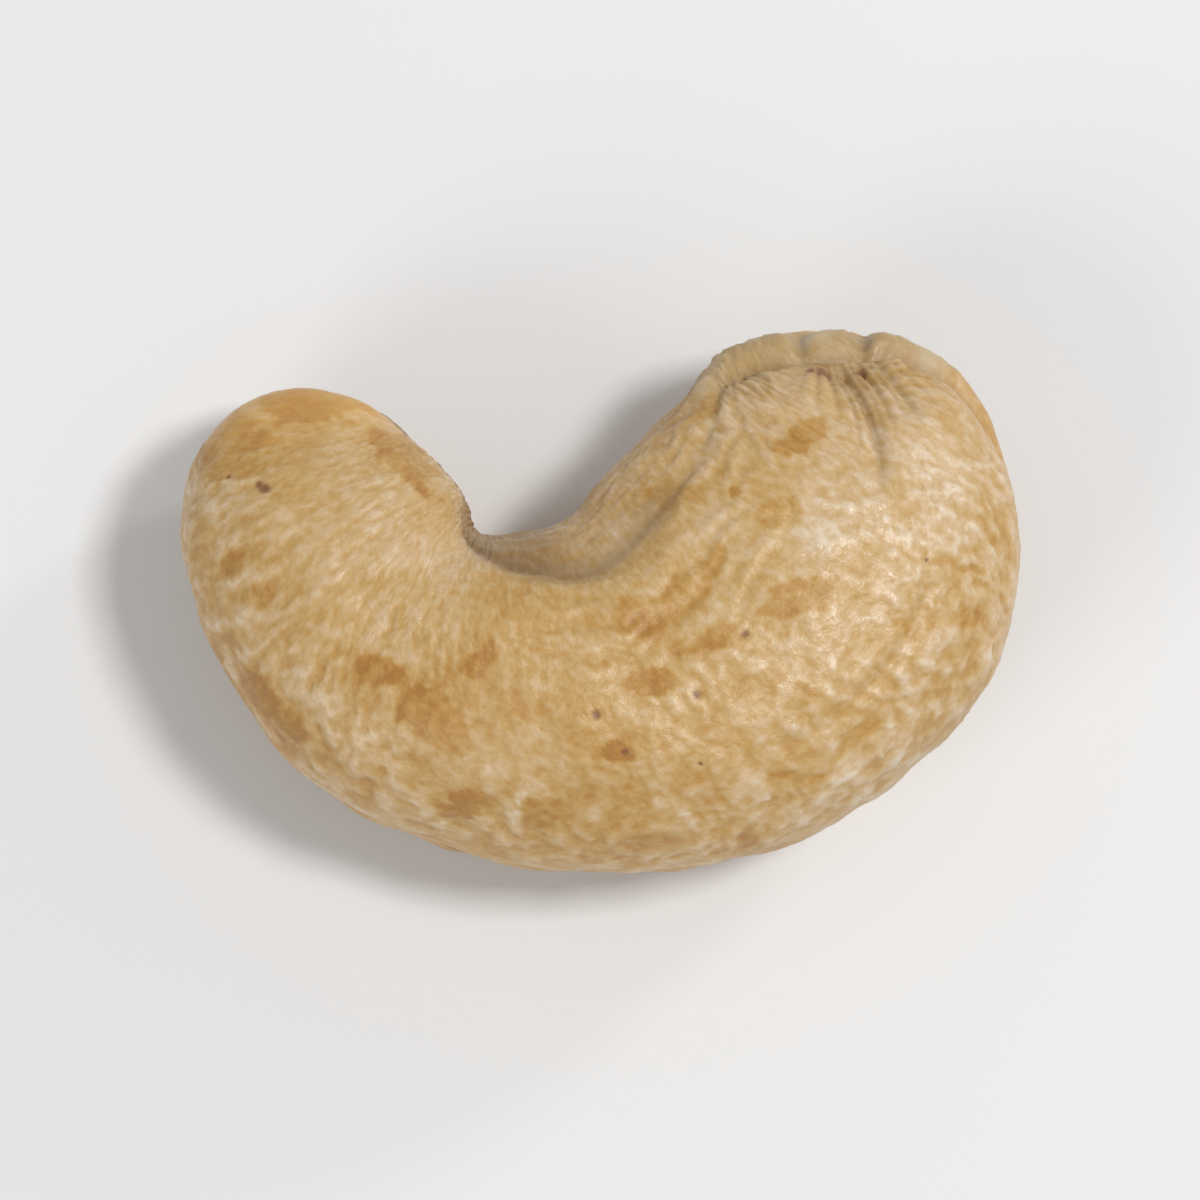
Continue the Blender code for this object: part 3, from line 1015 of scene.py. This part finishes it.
def make_kernel():
    kernel = bpy.data.objects.new("kernel_skin", kernel_mesh())
    kernel.data.materials.append(kernel_material())
    bpy.context.scene.collection.objects.link(kernel)
    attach(kernel, "root")
    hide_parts(NODE)


FLOOR_SIZE = 3.0
FLOOR_ALBEDO = (0.80, 0.80, 0.805, 1.0)
FLOOR_ROUGHNESS = 0.9
FLOOR_SHINE = 0.2


def make_floor():
    bpy.ops.mesh.primitive_plane_add(size=FLOOR_SIZE, location=(0, 0, 0))
    floor = bpy.context.object
    floor.name = "floor"
    material = bpy.data.materials.new("floor")
    material.use_nodes = True
    shader = material.node_tree.nodes["Principled BSDF"]
    shader.inputs["Base Color"].default_value = FLOOR_ALBEDO
    shader.inputs["Roughness"].default_value = FLOOR_ROUGHNESS
    shader.inputs["Specular IOR Level"].default_value = FLOOR_SHINE
    floor.data.materials.append(material)


# Soft lamps: where they stand, their width and height in metres, and their power
Lamp = namedtuple("Lamp", "name at width height power colour")
LAMPS = (
    Lamp("key", (0.19, 0.02, 0.43), 0.08, 0.08, 1.13, (1.0, 0.985, 0.96)),
    Lamp("fill", (-0.28, -0.26, 0.26), 0.20, 0.20, 0.52, (1.0, 0.985, 0.96)),
    Lamp("glint", (0.24, 0.19, 0.15), 0.05, 0.05, 0.20, (1.0, 0.99, 0.97)),
)
SKY_STRENGTH = 0.40
SKY_COLOUR = (0.95, 0.97, 1.0, 1.0)


def aimed(origin, target):
    """The turn that points a lamp or camera at origin towards target."""
    return (Vector(target) - Vector(origin)).to_track_quat("-Z", "Y").to_euler()


def make_light():
    middle = (0, 0, KERNEL_THICKNESS / 2 * MM)
    for lamp in LAMPS:
        data = bpy.data.lights.new(lamp.name, "AREA")
        data.shape = "RECTANGLE"
        data.size = lamp.width
        data.size_y = lamp.height
        data.energy = lamp.power
        data.color = lamp.colour
        item = bpy.data.objects.new(lamp.name, data)
        item.location = lamp.at
        item.rotation_euler = aimed(lamp.at, middle)
        bpy.context.scene.collection.objects.link(item)
    world = bpy.data.worlds.new("sky")
    world.use_nodes = True
    sky = world.node_tree.nodes["Background"]
    sky.inputs["Color"].default_value = SKY_COLOUR
    sky.inputs["Strength"].default_value = SKY_STRENGTH
    bpy.context.scene.world = world


# The camera: its elevation in degrees, its distance and the nearest thing it
# sees in metres, its sensor in millimetres, and how much of its frame's width
# the kernel fills
CAMERA_ELEVATION = 82
CAMERA_DISTANCE = 0.26
NEAREST_SEEN = 0.01
SENSOR_WIDTH = 36
NUT_SHARE_OF_FRAME = 0.70


def make_camera():
    data = bpy.data.cameras.new("camera")
    data.sensor_width = SENSOR_WIDTH
    width_seen = KERNEL_LENGTH * MM / NUT_SHARE_OF_FRAME
    data.lens = SENSOR_WIDTH * CAMERA_DISTANCE / width_seen
    data.clip_start = NEAREST_SEEN
    camera = bpy.data.objects.new("camera", data)
    up = np.radians(CAMERA_ELEVATION)
    middle = Vector((0, 0, KERNEL_THICKNESS / 2 * MM))
    back = Vector((0, -np.cos(up), np.sin(up)))
    camera.location = middle + back * CAMERA_DISTANCE
    camera.rotation_euler = aimed(camera.location, middle)
    bpy.context.scene.collection.objects.link(camera)
    bpy.context.scene.camera = camera
    bpy.context.scene.view_settings.view_transform = "Standard"


make_kernel()
make_floor()
make_light()
make_camera()
